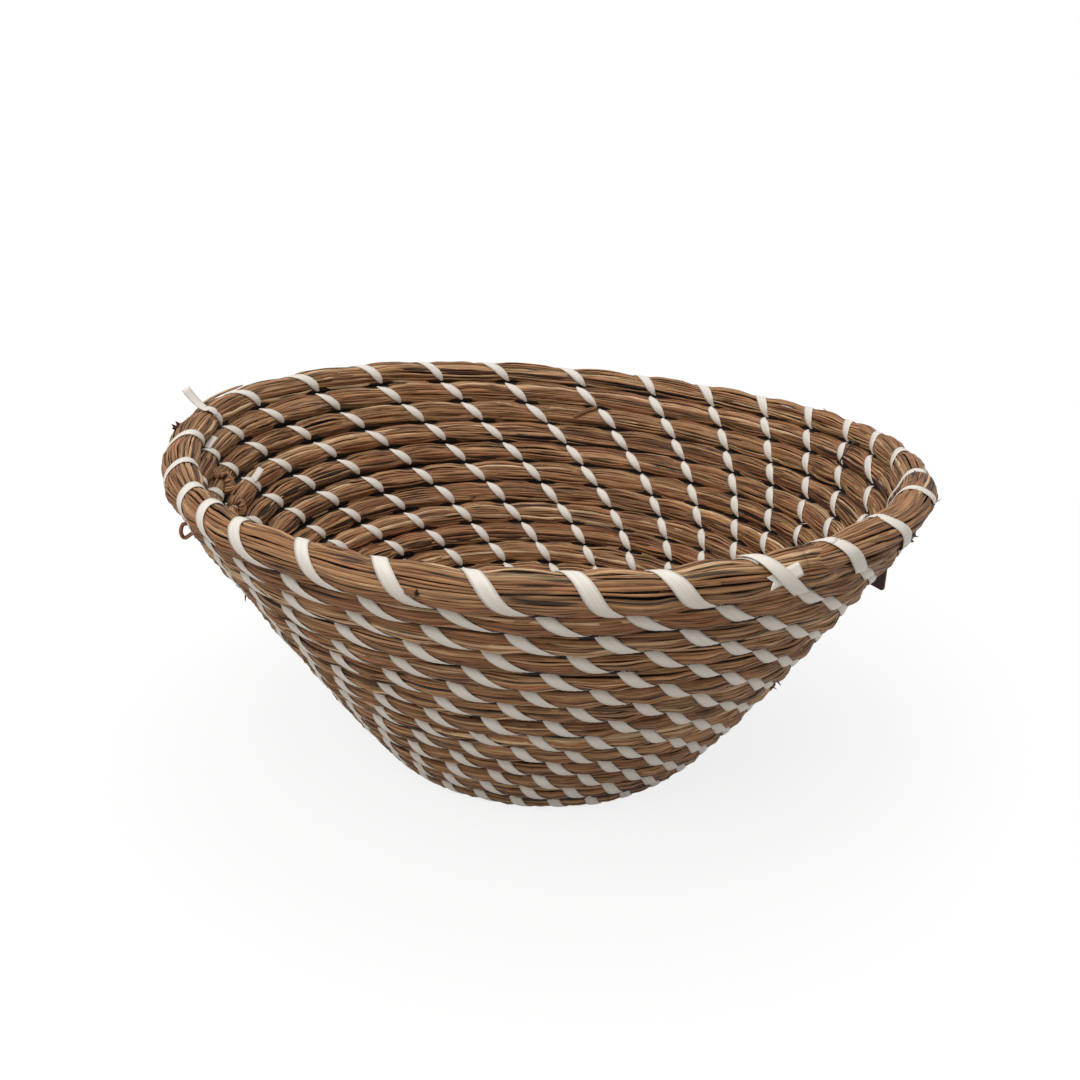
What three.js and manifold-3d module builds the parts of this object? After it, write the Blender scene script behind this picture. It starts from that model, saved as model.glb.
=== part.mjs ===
import * as THREE from 'three';
import { mergeVertices } from 'three/addons/utils/BufferGeometryUtils.js';
import Module from 'manifold-3d';

// Coiled grass bowl, in millimetres with +Z up and the table at zero.
// One bundle of grass stalks winds out from the middle of the base and up the wall, clockwise seen from above,
// and lengths of flat plastic ribbon wind round it row by row. A card tag swings on a thin loop under the rim.

const wasm = await Module();
wasm.setup();
const degree = Math.PI / 180;

// Driving sizes of the coil
const rimRadius = 144;
const rowSpacing = 10.45;
const bundleDepth = 12;
const wallTurns = 14;
const wallLeanLow = 54.7;
const wallLeanHigh = 58.4;
const bendTurns = 0.5;
const coilEndAzimuth = -58;
const startRadiusShare = 0.62;

// Handmade waves of the rim, which fade out down the wall
const rimTiltHeight = 4.1;
const rimTiltAzimuth = 219;
const rimSaddleHeight = 3;
const rimSaddleAzimuth = -41;
const rimShiftDepth = 2.2;
const rimShiftAzimuth = 165;
const rimOvalDepth = 1.7;
const rimOvalAzimuth = -12;
const rimLobeDepth = 1.7;
const rimLobeAzimuth = 59;

// Coil's thin end, which lies down on the row under it
const endTaperTurns = 0.16;
const endSizeShare = 0.3;

// Ribbon lashing
const ribbonWidth = 4.8;
const footRibbonWidth = 4.1;
const ribbonThickness = 0.5;
const stitchesPerTurn = 29;
const lashedRows = 13;
const rowClearance = 0.3;
const depthClearance = 0.6;
const chainShare = 0.68;
const gapPassShare = 0.04;
const edgeSpacing = 0.6;

// Loose end of the rim's ribbon
const tailAzimuth = 163;
const tailStitchShare = 0.25;
const tailSteps = 5;
const tailLength = 17;
const tailBend = 38;

// Hang tag and its loop
const tagAzimuth = 13;
const tagStitchShare = 0.2;
const tagWidth = 25;
const tagHeight = 45;
const tagThickness = 0.8;
const tagCorner = 2;
const tagHole = 4;
const tagHoleDown = 3.5;
const tagTwist = 11;
const loopThickness = 0.5;
const loopReach = 12;
const loopDrop = 13.5;
const loopOverEdge = 2.5;
const loopSeat = 0.3;

const stepsPerTurn = 24;
const integrationSteps = 400;
const deepest = bundleDepth / 2;
const flatShareOfDepth = 0.5;
const rowGap = ribbonThickness + 2 * rowClearance;
const cutDepth = bundleDepth / 10;
const baseHeight = deepest - cutDepth;

// Lean of the profile against the table, by turns above the foot
function leanAt(rise) {
  const through = THREE.MathUtils.smoothstep(rise, -bendTurns, bendTurns);
  const upWall = THREE.MathUtils.clamp((rise - bendTurns) / (wallTurns - bendTurns), 0, 1);
  return degree * (wallLeanLow * through + (wallLeanHigh - wallLeanLow) * upWall);
}

// Rows outward and upward from the bend's start, for a turn of the coil
function profileAt(rise) {
  if (rise <= -bendTurns) return { out: rise + bendTurns, up: 0 };
  const step = (rise + bendTurns) / integrationSteps;
  let out = 0;
  let up = 0;
  for (let i = 0; i < integrationSteps; i += 1) {
    const lean = leanAt(-bendTurns + (i + 1 / 2) * step);
    out += Math.cos(lean) * step;
    up += Math.sin(lean) * step;
  }
  return { out, up };
}

const rimProfile = profileAt(wallTurns - 1 / 2);
const wallHeight = rowSpacing * profileAt(wallTurns).up;
const startOut = rimProfile.out - (rimRadius / rowSpacing - startRadiusShare);
const startRise = startOut - bendTurns;
const stepCount = Math.floor((wallTurns - startRise) * stepsPerTurn);

function azimuthAt(rise) {
  return degree * (coilEndAzimuth + 360 * (wallTurns - rise));
}

// Radius and height of the bundle's middle, with the rim's waves
function middleAt(rise) {
  const profile = profileAt(rise);
  const azimuth = azimuthAt(rise);
  const heightShare = rowSpacing * profile.up / wallHeight;
  const wave = (size, toward, lobes) => size * heightShare * Math.cos(lobes * (azimuth - degree * toward));
  return new THREE.Vector2(
    rimRadius + rowSpacing * (profile.out - rimProfile.out) + wave(rimShiftDepth, rimShiftAzimuth, 1)
      + wave(rimOvalDepth, rimOvalAzimuth, 2) + wave(rimLobeDepth, rimLobeAzimuth, 3),
    baseHeight + rowSpacing * profile.up
      + wave(rimTiltHeight, rimTiltAzimuth, 1) + wave(rimSaddleHeight, rimSaddleAzimuth, 2),
  );
}

// Stations along the coil, from its thin end at the rim to its start in the base
function makeStation(index) {
  const rise = wallTurns - index / stepsPerTurn;
  const middle = middleAt(rise);
  const above = middleAt(rise + 1);
  const below = middleAt(rise - 1);
  const along = middleAt(rise + 1 / 2).sub(middleAt(rise - 1 / 2)).normalize();
  const bend = Math.abs(leanAt(rise + 1) - leanAt(rise - 1)) / 2;
  const azimuth = azimuthAt(rise);
  const outward = new THREE.Vector3(Math.cos(azimuth), Math.sin(azimuth), 0);
  const upward = new THREE.Vector3(0, 0, 1);
  const alongWall = outward.clone().multiplyScalar(along.x).addScaledVector(upward, along.y);
  const throughWall = outward.clone().multiplyScalar(along.y).addScaledVector(upward, -along.x);
  const halfUp = middle.distanceTo(above) / 2;
  const halfDown = middle.distanceTo(below) / 2;
  const pinch = deepest * flatShareOfDepth * bend;
  const share = THREE.MathUtils.clamp((wallTurns - rise) / endTaperTurns, 0, 1);
  const size = endSizeShare + (1 - endSizeShare) * share;
  const halfWidth = (Math.min(halfUp, halfDown) - rowGap / 2 - pinch) * size;
  const centre = outward.clone().multiplyScalar(middle.x).addScaledVector(upward, middle.y);
  centre.addScaledVector(alongWall, -(1 - size) / size * halfWidth);
  return { rise, centre, alongWall, throughWall, halfUp, halfDown, halfWidth, halfDepth: deepest * size };
}

const stations = Array.from({ length: stepCount + 1 }, (unused, index) => makeStation(index));

// Point beside the coil's middle, on the straight stretch between two stations
function beside(rise, alongOf, throughOf) {
  const place = THREE.MathUtils.clamp((wallTurns - rise) * stepsPerTurn, 0, stepCount - edgeSpacing);
  const first = Math.floor(place);
  const ends = [stations[first], stations[first + 1]].map((station) => station.centre.clone()
    .addScaledVector(station.alongWall, alongOf(station))
    .addScaledVector(station.throughWall, throughOf(station)));
  return ends[0].lerp(ends[1], place - first);
}

// Closed solid through rings of points, with a flat cap at each end or joined end to end
function ringSolid(rings, joined = false) {
  const sides = rings[0].length;
  const positions = rings.flat().flatMap((point) => point.toArray());
  const indices = [];
  const stretches = joined ? rings.length : rings.length - 1;
  for (let ring = 0; ring < stretches; ring += 1) {
    const next = (ring + 1) % rings.length;
    for (let side = 0; side < sides; side += 1) {
      const across = (side + 1) % sides;
      const corners = [ring * sides + side, ring * sides + across, next * sides + across, next * sides + side];
      indices.push(corners[0], corners[1], corners[2], corners[0], corners[2], corners[3]);
    }
  }
  if (!joined) {
    const last = (rings.length - 1) * sides;
    for (let side = 1; side < sides - 1; side += 1) {
      indices.push(0, side + 1, side);
      indices.push(last, last + side, last + side + 1);
    }
  }
  const geometry = new THREE.BufferGeometry();
  geometry.setAttribute('position', new THREE.Float32BufferAttribute(positions, 3));
  geometry.setIndex(facingOut(positions, indices));
  return geometry;
}

function facingOut(positions, indices) {
  const corner = (index) => new THREE.Vector3().fromArray(positions, 3 * index);
  let volume = 0;
  for (let i = 0; i < indices.length; i += 3) {
    const [a, b, c] = [corner(indices[i]), corner(indices[i + 1]), corner(indices[i + 2])];
    volume += a.dot(b.cross(c));
  }
  return volume > 0 ? indices : indices.toReversed();
}

function toManifold(geometry) {
  const bare = geometry.clone();
  bare.deleteAttribute('normal');
  bare.deleteAttribute('uv');
  const merged = mergeVertices(bare);
  return new wasm.Manifold(new wasm.Mesh({
    numProp: 3,
    vertProperties: Float32Array.from(merged.attributes.position.array),
    triVerts: Uint32Array.from(merged.index.array),
  }));
}

function toGeometry(manifold) {
  const mesh = manifold.getMesh();
  const geometry = new THREE.BufferGeometry();
  geometry.setAttribute('position', new THREE.Float32BufferAttribute(mesh.vertProperties, 3));
  geometry.setIndex(Array.from(mesh.triVerts));
  return geometry;
}

// Six sided section with its flats toward the neighbouring rows
function coilRing(station) {
  const { centre, alongWall, throughWall, halfWidth, halfDepth } = station;
  const flat = halfDepth * flatShareOfDepth;
  const corners = [[halfWidth, -flat], [halfWidth, flat], [0, halfDepth],
    [-halfWidth, flat], [-halfWidth, -flat], [0, -halfDepth]];
  return corners.map(([along, through]) => centre.clone()
    .addScaledVector(alongWall, along).addScaledVector(throughWall, through));
}

// The bundle of grass, cut flat where it stands on the table
function makeGrassCoil() {
  const whole = toManifold(ringSolid(stations.map(coilRing)));
  return toGeometry(whole.trimByPlane([0, 0, 1], 0));
}

// Least distance between one turn's corners and the next turn's sides, as a check on the winding
function leastGapToItself() {
  let least = Infinity;
  stations.forEach((station, index) => {
    const outer = stations[index - stepsPerTurn];
    if (!outer) return;
    const topCorners = coilRing(station).slice(0, 2);
    const bottomCorners = coilRing(outer).slice(3, 5);
    for (const top of topCorners) {
      const line = new THREE.Line3(bottomCorners[0], bottomCorners[1]);
      least = Math.min(least, line.closestPointToPoint(top, true, new THREE.Vector3()).distanceTo(top));
    }
    for (const bottom of bottomCorners) {
      const line = new THREE.Line3(topCorners[0], topCorners[1]);
      least = Math.min(least, line.closestPointToPoint(bottom, true, new THREE.Vector3()).distanceTo(bottom));
    }
  });
  return least;
}

// A row's ribbon: down across the outside of the bundle, under it, up the inside and back over it, stitch by stitch
function makeRibbonRow(row) {
  const firstRise = wallTurns - row;
  const radius = middleAt(firstRise - 1).x;
  const stitchLength = 2 * Math.PI * radius / stitchesPerTurn;
  const width = THREE.MathUtils.lerp(ribbonWidth, footRibbonWidth, row / (lashedRows - 1));
  const widthShare = width / stitchLength;
  const outsideShare = chainShare - 2 * gapPassShare - (width + edgeSpacing) / stitchLength;
  const phase = row * chainShare - Math.floor(row * chainShare);
  const skipped = row === 0 ? Math.ceil(endTaperTurns * stitchesPerTurn) + 1 : 0;
  const passes = [];
  for (let stitch = skipped; stitch < stitchesPerTurn - 1; stitch += 1) {
    const start = stitch + phase;
    passes.push({ at: start, top: true, outside: true });
    passes.push(...stationsCrossed(firstRise, start, start + outsideShare));
    passes.push({ at: start + outsideShare, top: false, outside: true });
    passes.push({ at: start + outsideShare + gapPassShare, top: false, outside: false });
    passes.push({ at: start + 1 - gapPassShare, top: true, outside: false });
  }
  const half = ribbonThickness / 2;
  const offset = deepest + depthClearance + half;
  return ringSolid(passes.map((pass) => [[-1, 1], [1, 1], [0, -1]].map(([side, skin]) => {
    const rise = firstRise - (pass.at + side * widthShare / 2) / stitchesPerTurn;
    const along = (station) => {
      const share = pass.share ?? (pass.top ? 0 : 1);
      const reach = (1 - share) * station.halfUp - share * station.halfDown;
      return pass.share === undefined ? reach + Math.sign(reach) * half * skin : reach;
    };
    const through = () => (pass.outside ? 1 : -1) * (offset + half * skin);
    return beside(rise, along, through);
  })));
}

// Places where a stitch crosses one of the coil's corners, so that it bends there as the coil does
function stationsCrossed(firstRise, start, end) {
  const crossed = [];
  const stationOf = (at) => (wallTurns - firstRise + at / stitchesPerTurn) * stepsPerTurn;
  for (let index = Math.ceil(stationOf(start)); index < stationOf(end); index += 1) {
    const at = (index / stepsPerTurn - (wallTurns - firstRise)) * stitchesPerTurn;
    const share = (at - start) / (end - start);
    if (share > gapPassShare && share < 1 - gapPassShare) crossed.push({ at, share, outside: true });
  }
  return crossed;
}

// Rise of the nearest place on a row to an azimuth, as stitches of that row
function riseAtAzimuth(row, azimuth, stitchShare) {
  const turns = ((azimuth - coilEndAzimuth) / 360 % 1 + 1) % 1;
  const phase = row * chainShare - Math.floor(row * chainShare);
  const stitch = Math.round(turns * stitchesPerTurn - phase) + stitchShare;
  return wallTurns - row - (stitch + phase) / stitchesPerTurn;
}

// The loose ribbon end, which leaves the inside of the rim and stands up over it
function makeRibbonTail() {
  const rise = riseAtAzimuth(0, tailAzimuth, tailStitchShare);
  const frame = stations[Math.round((wallTurns - rise) * stepsPerTurn)];
  const outward = new THREE.Vector3(frame.throughWall.x, frame.throughWall.y, 0).normalize();
  const sideways = new THREE.Vector3(-outward.y, outward.x, 0);
  const start = beside(rise, (station) => station.halfWidth + depthClearance, () => -deepest / 2);
  const rings = [];
  for (let step = 0; step <= tailSteps; step += 1) {
    const turned = degree * (90 - tailBend + tailBend * step / tailSteps);
    const forward = outward.clone().multiplyScalar(Math.sin(turned));
    forward.z = Math.cos(turned);
    const normal = forward.clone().cross(sideways);
    rings.push([[-1, -1], [1, -1], [1, 1], [-1, 1]].map(([side, skin]) => start.clone()
      .addScaledVector(sideways, side * ribbonWidth / 2)
      .addScaledVector(normal, skin * ribbonThickness / 2)));
    start.addScaledVector(forward, tailLength / tailSteps);
  }
  return ringSolid(rings);
}

// Where the tag hangs: the loop's strand through its hole, outside and below the second row
const tagRow = 1;
const tagRise = riseAtAzimuth(tagRow, tagAzimuth, tagStitchShare);
const tagRowMiddle = beside(tagRise, () => 0, () => 0);
const tagOutward = new THREE.Vector3(tagRowMiddle.x, tagRowMiddle.y, 0).normalize();
const tagHang = tagRowMiddle.clone().addScaledVector(tagOutward, loopReach).add(new THREE.Vector3(0, 0, -loopDrop));
const tagNormal = tagOutward.clone().applyAxisAngle(new THREE.Vector3(0, 0, 1), degree * tagTwist);

// The loop: round the second row through the gaps above and below it, then out through the tag's hole
function makeTagLoop() {
  const inside = deepest + depthClearance + ribbonThickness;
  const level = (out, up) => tagRowMiddle.clone().addScaledVector(tagOutward, out).add(new THREE.Vector3(0, 0, up));
  const above = (through) => beside(tagRise, (station) => station.halfUp, () => through);
  const below = (through) => beside(tagRise, (station) => -station.halfDown, () => through);
  const strapUp = tagHoleDown + loopOverEdge;
  const route = [
    above(-inside), above(inside), level(loopReach, strapUp - loopDrop),
    level(loopReach + tagHoleDown, strapUp / 2 - loopDrop), level(loopReach + tagHoleDown / 2, -loopDrop),
    level(loopReach - tagHoleDown / 2, -loopDrop), below(inside), below(-inside),
  ];
  const sideways = new THREE.Vector3(-tagOutward.y, tagOutward.x, 0);
  const half = loopThickness / 2;
  return ringSolid(route.map((point, index) => {
    const before = route[(index + route.length - 1) % route.length];
    const after = route[(index + 1) % route.length];
    const arriving = point.clone().sub(before).normalize();
    const leaving = after.clone().sub(point).normalize();
    const travel = arriving.clone().add(leaving).normalize();
    const normal = travel.clone().cross(sideways).normalize();
    const miter = half / Math.max(arriving.dot(travel), 1 / 2);
    return [[-1, -1], [1, -1], [1, 1], [-1, 1]].map(([side, skin]) => point.clone()
      .addScaledVector(sideways, side * half).addScaledVector(normal, skin * miter));
  }), true);
}

function makeHangTag() {
  const half = tagWidth / 2;
  const holeUnderStrand = tagHole / 2 - loopThickness / 2 - loopSeat;
  const card = new THREE.Shape();
  card.absarc(half - tagCorner, tagHoleDown - tagCorner, tagCorner, 0, Math.PI / 2);
  card.absarc(-half + tagCorner, tagHoleDown - tagCorner, tagCorner, Math.PI / 2, Math.PI);
  card.absarc(-half + tagCorner, tagHoleDown - tagHeight + tagCorner, tagCorner, Math.PI, 3 * Math.PI / 2);
  card.absarc(half - tagCorner, tagHoleDown - tagHeight + tagCorner, tagCorner, 3 * Math.PI / 2, 2 * Math.PI);
  card.closePath();
  const hole = new THREE.Path();
  hole.absarc(0, 0, tagHole / 2, 0, 2 * Math.PI);
  card.holes.push(hole);
  const geometry = new THREE.ExtrudeGeometry(card, { depth: tagThickness, bevelEnabled: false, curveSegments: 4 });
  geometry.translate(0, -holeUnderStrand, -tagThickness / 2);
  const across = new THREE.Vector3(-tagNormal.y, tagNormal.x, 0);
  const placed = new THREE.Matrix4().makeBasis(across, new THREE.Vector3(0, 0, 1), tagNormal);
  placed.setPosition(tagHang);
  return geometry.applyMatrix4(placed);
}

const grassMaterial = new THREE.MeshStandardMaterial({ color: '#8a6238', roughness: 0.8 });
const ribbonMaterial = new THREE.MeshStandardMaterial({ color: '#e9e4da', roughness: 0.45 });
const loopMaterial = new THREE.MeshStandardMaterial({ color: '#3a2f28', roughness: 0.6 });
const cardMaterial = new THREE.MeshStandardMaterial({ color: '#5c4a42', roughness: 0.85 });

const bowl = new THREE.Group();
bowl.name = 'woven_grass_bowl';

function addPiece(name, geometry, material) {
  const mesh = new THREE.Mesh(geometry, material);
  mesh.name = name;
  bowl.add(mesh);
}

addPiece('grass_coil', makeGrassCoil(), grassMaterial);
for (let row = 0; row < lashedRows; row += 1) {
  const fromFoot = String(lashedRows - row).padStart(2, '0');
  addPiece(`ribbon_row_${fromFoot}`, makeRibbonRow(row), ribbonMaterial);
}
addPiece('ribbon_tail', makeRibbonTail(), ribbonMaterial);
addPiece('tag_loop', makeTagLoop(), loopMaterial);
addPiece('hang_tag', makeHangTag(), cardMaterial);

// The origin is the middle of the whole object's extent, at table level
const extent = new THREE.Box3().setFromObject(bowl);
const extentMiddle = extent.getCenter(new THREE.Vector3());
bowl.position.set(-extentMiddle.x, -extentMiddle.y, 0);
const tagHinge = tagHang.clone().add(bowl.position);

console.log(`turns in the coil ${(stepCount / stepsPerTurn).toFixed(2)}`);
console.log(`least gap of the coil to itself ${leastGapToItself().toFixed(2)} mm`);
console.log(`rim middle height ${(baseHeight + rowSpacing * rimProfile.up).toFixed(2)} mm`);
console.log(`coil axis at ${bowl.position.toArray().map((value) => value.toFixed(3))} mm`);
console.log(`tag hinge at ${tagHinge.toArray().map((value) => value.toFixed(3))} mm`);
console.log(`tag hinge axis ${tagNormal.toArray().map((value) => value.toFixed(4))}`);

export default bowl;
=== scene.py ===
import math

import bpy
import numpy as np
from mathutils import Matrix, Vector


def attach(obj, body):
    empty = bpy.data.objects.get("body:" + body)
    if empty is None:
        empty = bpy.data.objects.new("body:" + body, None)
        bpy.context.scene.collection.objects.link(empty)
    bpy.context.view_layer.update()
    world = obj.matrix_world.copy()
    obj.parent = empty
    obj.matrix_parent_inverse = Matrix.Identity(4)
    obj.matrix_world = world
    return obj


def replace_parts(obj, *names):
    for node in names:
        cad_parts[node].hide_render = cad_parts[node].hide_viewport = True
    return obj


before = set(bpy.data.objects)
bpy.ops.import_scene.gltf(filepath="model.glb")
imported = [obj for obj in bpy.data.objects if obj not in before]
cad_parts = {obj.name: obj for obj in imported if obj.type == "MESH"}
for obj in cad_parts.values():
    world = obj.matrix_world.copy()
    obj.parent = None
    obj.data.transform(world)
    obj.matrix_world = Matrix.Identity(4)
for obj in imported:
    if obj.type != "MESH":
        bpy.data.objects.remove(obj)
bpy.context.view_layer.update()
bpy.ops.object.select_all(action="DESELECT")
print("frame loaded")

mm = 0.001

# The coil's spiral, as the part's source has it; a turn counts from the thin end at the rim
coil = {
    "axis": (5.127 * mm, -2.431 * mm),
    "rimRadius": 144 * mm,
    "rowSpacing": 10.45 * mm,
    "bundleDepth": 12 * mm,
    "wallTurns": 14,
    "leanLow": 54.7,
    "leanHigh": 58.4,
    "bendTurns": 0.5,
    "endAzimuth": -58,
    "lastTurn": 20.24,
    "endSizes": ([-0.03, -0.01, 0.012, 0.03, 0.1], [0.1, 0.3, 0.72, 0.9, 1]),
    "radiusWaves": [(2.2 * mm, 165, 1), (1.7 * mm, -12, 2), (1.7 * mm, 59, 3)],
    "heightWaves": [(4.1 * mm, 219, 1), (3 * mm, -41, 2)],
}
baseHeight = 0.4 * coil["bundleDepth"]  # the bundle's middle, with a tenth of its depth cut flat


def smooth(share):
    share = np.clip(share, 0, 1)
    return share * share * (3 - 2 * share)


def risingShare(value, between):
    return smooth((value - between[0]) / (between[1] - between[0]))


def travelledAlong(points):
    return np.concatenate([[0], np.cumsum(np.linalg.norm(np.diff(points, axis=0), axis=1))])


def leanAt(rise):
    bend = coil["bendTurns"]
    through = smooth((rise + bend) / (2 * bend))
    upWall = np.clip((rise - bend) / (coil["wallTurns"] - bend), 0, 1)
    return np.radians(coil["leanLow"] * through + (coil["leanHigh"] - coil["leanLow"]) * upWall)


riseTable = np.linspace(-coil["bendTurns"], coil["wallTurns"] + 1, 6000)
stepLeans = leanAt((riseTable[1:] + riseTable[:-1]) / 2)
outTable = np.concatenate([[0], np.cumsum(np.cos(stepLeans) * np.diff(riseTable))])
upTable = np.concatenate([[0], np.cumsum(np.sin(stepLeans) * np.diff(riseTable))])


def outAt(rise):
    return np.where(rise < riseTable[0], rise - riseTable[0], np.interp(rise, riseTable, outTable))


def upAt(rise):
    return np.interp(rise, riseTable, upTable)


def azimuthAt(turn):
    return coil["endAzimuth"] + 360 * turn


def wavesAt(waves, azimuth):
    return sum(size * np.cos(lobes * np.radians(azimuth - toward)) for size, toward, lobes in waves)


def middleAt(turn):
    rise = coil["wallTurns"] - turn
    fade = upAt(rise) / upAt(coil["wallTurns"])
    azimuth = azimuthAt(turn)
    rowsFromRim = outAt(rise) - outAt(coil["wallTurns"] - 0.5)
    radius = (coil["rimRadius"] + coil["rowSpacing"] * rowsFromRim
              + fade * wavesAt(coil["radiusWaves"], azimuth))
    height = baseHeight + coil["rowSpacing"] * upAt(rise) + fade * wavesAt(coil["heightWaves"], azimuth)
    return radius, height


def sizeAt(turn):
    return np.interp(turn, *coil["endSizes"])


def waveSum(seed, wavelengths):
    # A smooth random curve along the coil, from a few sine waves
    rng = np.random.default_rng(seed)
    waves = [(2 * np.pi / w, rng.uniform(0, 2 * np.pi), rng.uniform(0.5, 1)) for w in wavelengths]
    total = sum(size for _, _, size in waves)
    return lambda length: sum(size * np.sin(rate * length + phase) for rate, phase, size in waves) / total


# Under the thin end the rows are drawn up, and a hollow is left between it and the row beneath
drawnUp = {
    "rise": 4.2 * mm,
    "toward": -45,
    "halfWidth": 62,
    "rows": ([0.5, 1, 2, 3, 4, 6], [0, 1, 0.85, 0.6, 0.3, 0]),
    "hollowTurns": (0.0, 0.062),
    "hollowDepth": 2.4 * mm,
}


def drawnUpAt(turn):
    away = np.mod(azimuthAt(turn) - drawnUp["toward"] + 180, 360) - 180
    near = smooth(1 - np.abs(away) / drawnUp["halfWidth"])
    return drawnUp["rise"] * near * np.interp(turn - away / 360, *drawnUp["rows"])


# How far a handmade row strays from the even spiral
stray = {
    "through": 0.55 * mm,
    "along": 0.35 * mm,
    "swellShare": 0.06,
    "outward": 0.8 * mm,
}
# The rim's ends are narrower and its back higher than an even round's: how far, in mm, at each azimuth
rimShape = {
    "azimuths": [-60, -35, -12, 5, 12, 25, 45, 90, 130, 150, 162, 174, 183, 193, 206, 225, 245, 300],
    "inward": [0.3, 1.6, 2.5, 1.9, 1.3, 0.5, 0, 0, 0, 0, 0.5, 1.9, 3.3, 3.3, 2.4, 0.7, 0, 0.3],
    "raise": [0, 0.2, 0.6, 1.6, 2.1, 1.8, 1.3, 1.2, 1.1, 1.3, 1.8, 1.7, 0.6, 0, 0, 0, 0, 0],
    "inwardRows": ([0.7, 2.3], [1, 0]),
    "raiseRows": ([0.9, 7], [1, 0]),
}
strayThrough = waveSum(11, [0.171, 0.083, 0.047])
strayAlong = waveSum(12, [0.133, 0.071, 0.053])
strayRadius = waveSum(13, [0.19, 0.062, 0.031])


def columns(*parts):
    return np.stack(np.broadcast_arrays(*parts), -1)


def unit(vectors):
    return vectors / np.maximum(np.linalg.norm(vectors, axis=-1, keepdims=True), 1e-12)


def coilFrame(turn):
    # Middle of the bundle, the way up the wall, the way out through it and the way along the coil
    radius, height = middleAt(turn)
    azimuth = np.radians(azimuthAt(turn))
    lean = leanAt(coil["wallTurns"] - turn)
    outward = columns(np.cos(azimuth), np.sin(azimuth), 0)
    alongWall = outward * np.cos(lean)[..., None]
    alongWall[..., 2] = np.sin(lean)
    throughWall = outward * np.sin(lean)[..., None]
    throughWall[..., 2] = -np.cos(lean)
    forward = columns(-np.sin(azimuth), np.cos(azimuth), 0)
    centre = outward * radius[..., None]
    centre[..., 0] += coil["axis"][0]
    centre[..., 1] += coil["axis"][1]
    centre[..., 2] = height
    length = lengthAt(turn)
    onWall = smooth((coil["wallTurns"] - turn) / 2)
    along = onWall * stray["along"] * strayAlong(length) - (1 - sizeAt(turn)) * coil["rowSpacing"] / 2
    along += drawnUpAt(turn)
    throughBy = stray["outward"] + stray["through"] * strayThrough(length)
    centre += alongWall * along[..., None] + throughWall * (onWall * throughBy)[..., None]
    around = np.mod(np.degrees(azimuth) + 60, 360) - 60
    inward = np.interp(around, rimShape["azimuths"], rimShape["inward"]) * mm
    centre -= outward * (inward * np.interp(turn, *rimShape["inwardRows"]))[..., None]
    up = np.interp(around, rimShape["azimuths"], rimShape["raise"]) * mm
    centre[..., 2] += up * np.interp(turn, *rimShape["raiseRows"])
    return centre, alongWall, throughWall, forward


turnTable = np.linspace(-0.2, coil["lastTurn"] + 0.2, 20000)
roundTable = 2 * np.pi * np.maximum(middleAt(turnTable)[0][1:], 7 * mm)
lengthTable = np.concatenate([[0], np.cumsum(roundTable * np.diff(turnTable))])


def lengthAt(turn):
    return np.interp(turn, turnTable, lengthTable)


def turnAtLength(length):
    return np.interp(length, lengthTable, turnTable)


# Where the stitches sit round the rim, by azimuth as photographed; each lower row follows its upper one
lashing = {
    "rimStitches": [-10, 1.8, 13.1, 23.5, 35.1, 46.8, 60.2, 73.3, 89.6, 105, 118.5, 132.4, 147.5, 162,
                    174.5, 185, 199, 209.5, 217, 226, 238, 250, 261.5, 274, 284, 296],
    "endedStitch": 174.5,
    "doubledRowStitches": [307.7, 317.9, 333.8, 346],
    "stitchesPerChain": 29,
    "chainShare": 0.7,
    "basePitch": 14 * mm,
    "jitterShare": 0.03,
    "width": 4.7 * mm,
    "footWidth": 4.2 * mm,
    "thickness": 0.3 * mm,
    "lift": 0.12 * mm,
    "stepsPerStitch": 30,
    "outsideGapWidthShare": 0.5,
    "outsideTaper": (128, 180),
    "outsideStart": 14,
    "startOpen": 0.35,
    "insideGapWidthShare": 0.14,
    "leafTaper": (278, 342),
    "leafOpening": ([180, 200, 214, 228, 244, 262], [0.5, 0.34, 0.36, 0.66, 0.92, 1]),
    "angles": [0, 40, 90, 125, 180, 205, 265, 325, 360],
    "wallProgress": [0, 0.12, 0.32, 0.47, 0.7, 0.71, 0.85, 0.99, 1],
    "rimProgress": [0, 0.12, 0.29, 0.44, 0.6, 0.63, 0.75, 0.91, 1],
    "rimChainShare": (0.635, 0.065, 90),
}


def layStitches():
    fromEnd = [a - coil["endAzimuth"] for a in lashing["rimStitches"] + lashing["doubledRowStitches"]]
    turns = [a / 360 for a in fromEnd]
    while turns[-1] < coil["wallTurns"] + 0.3:
        above = len(turns) - lashing["stitchesPerChain"]
        share = lashing["chainShare"]
        if turns[above] < 1:
            middle, swing, toward = lashing["rimChainShare"]
            share = middle + swing * math.cos(math.radians(azimuthAt(turns[above]) - toward))
        turns.append(turns[above] + 1 + share * (turns[above + 1] - turns[above]))
    while turns[-1] < coil["lastTurn"] - 0.74:
        radius = middleAt(np.array(turns[-1]))[0]
        turns.append(turns[-1] + lashing["basePitch"] / (2 * math.pi * radius))
    turns = np.array(turns)
    jitter = np.random.default_rng(5).uniform(-1, 1, len(turns)) * lashing["jitterShare"]
    turns[1:-1] += jitter[1:-1] * (turns[2:] - turns[:-2]) / 2
    return turns


stitchTurns = layStitches()
stitchNumbers = np.arange(len(stitchTurns), dtype=float)


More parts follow.
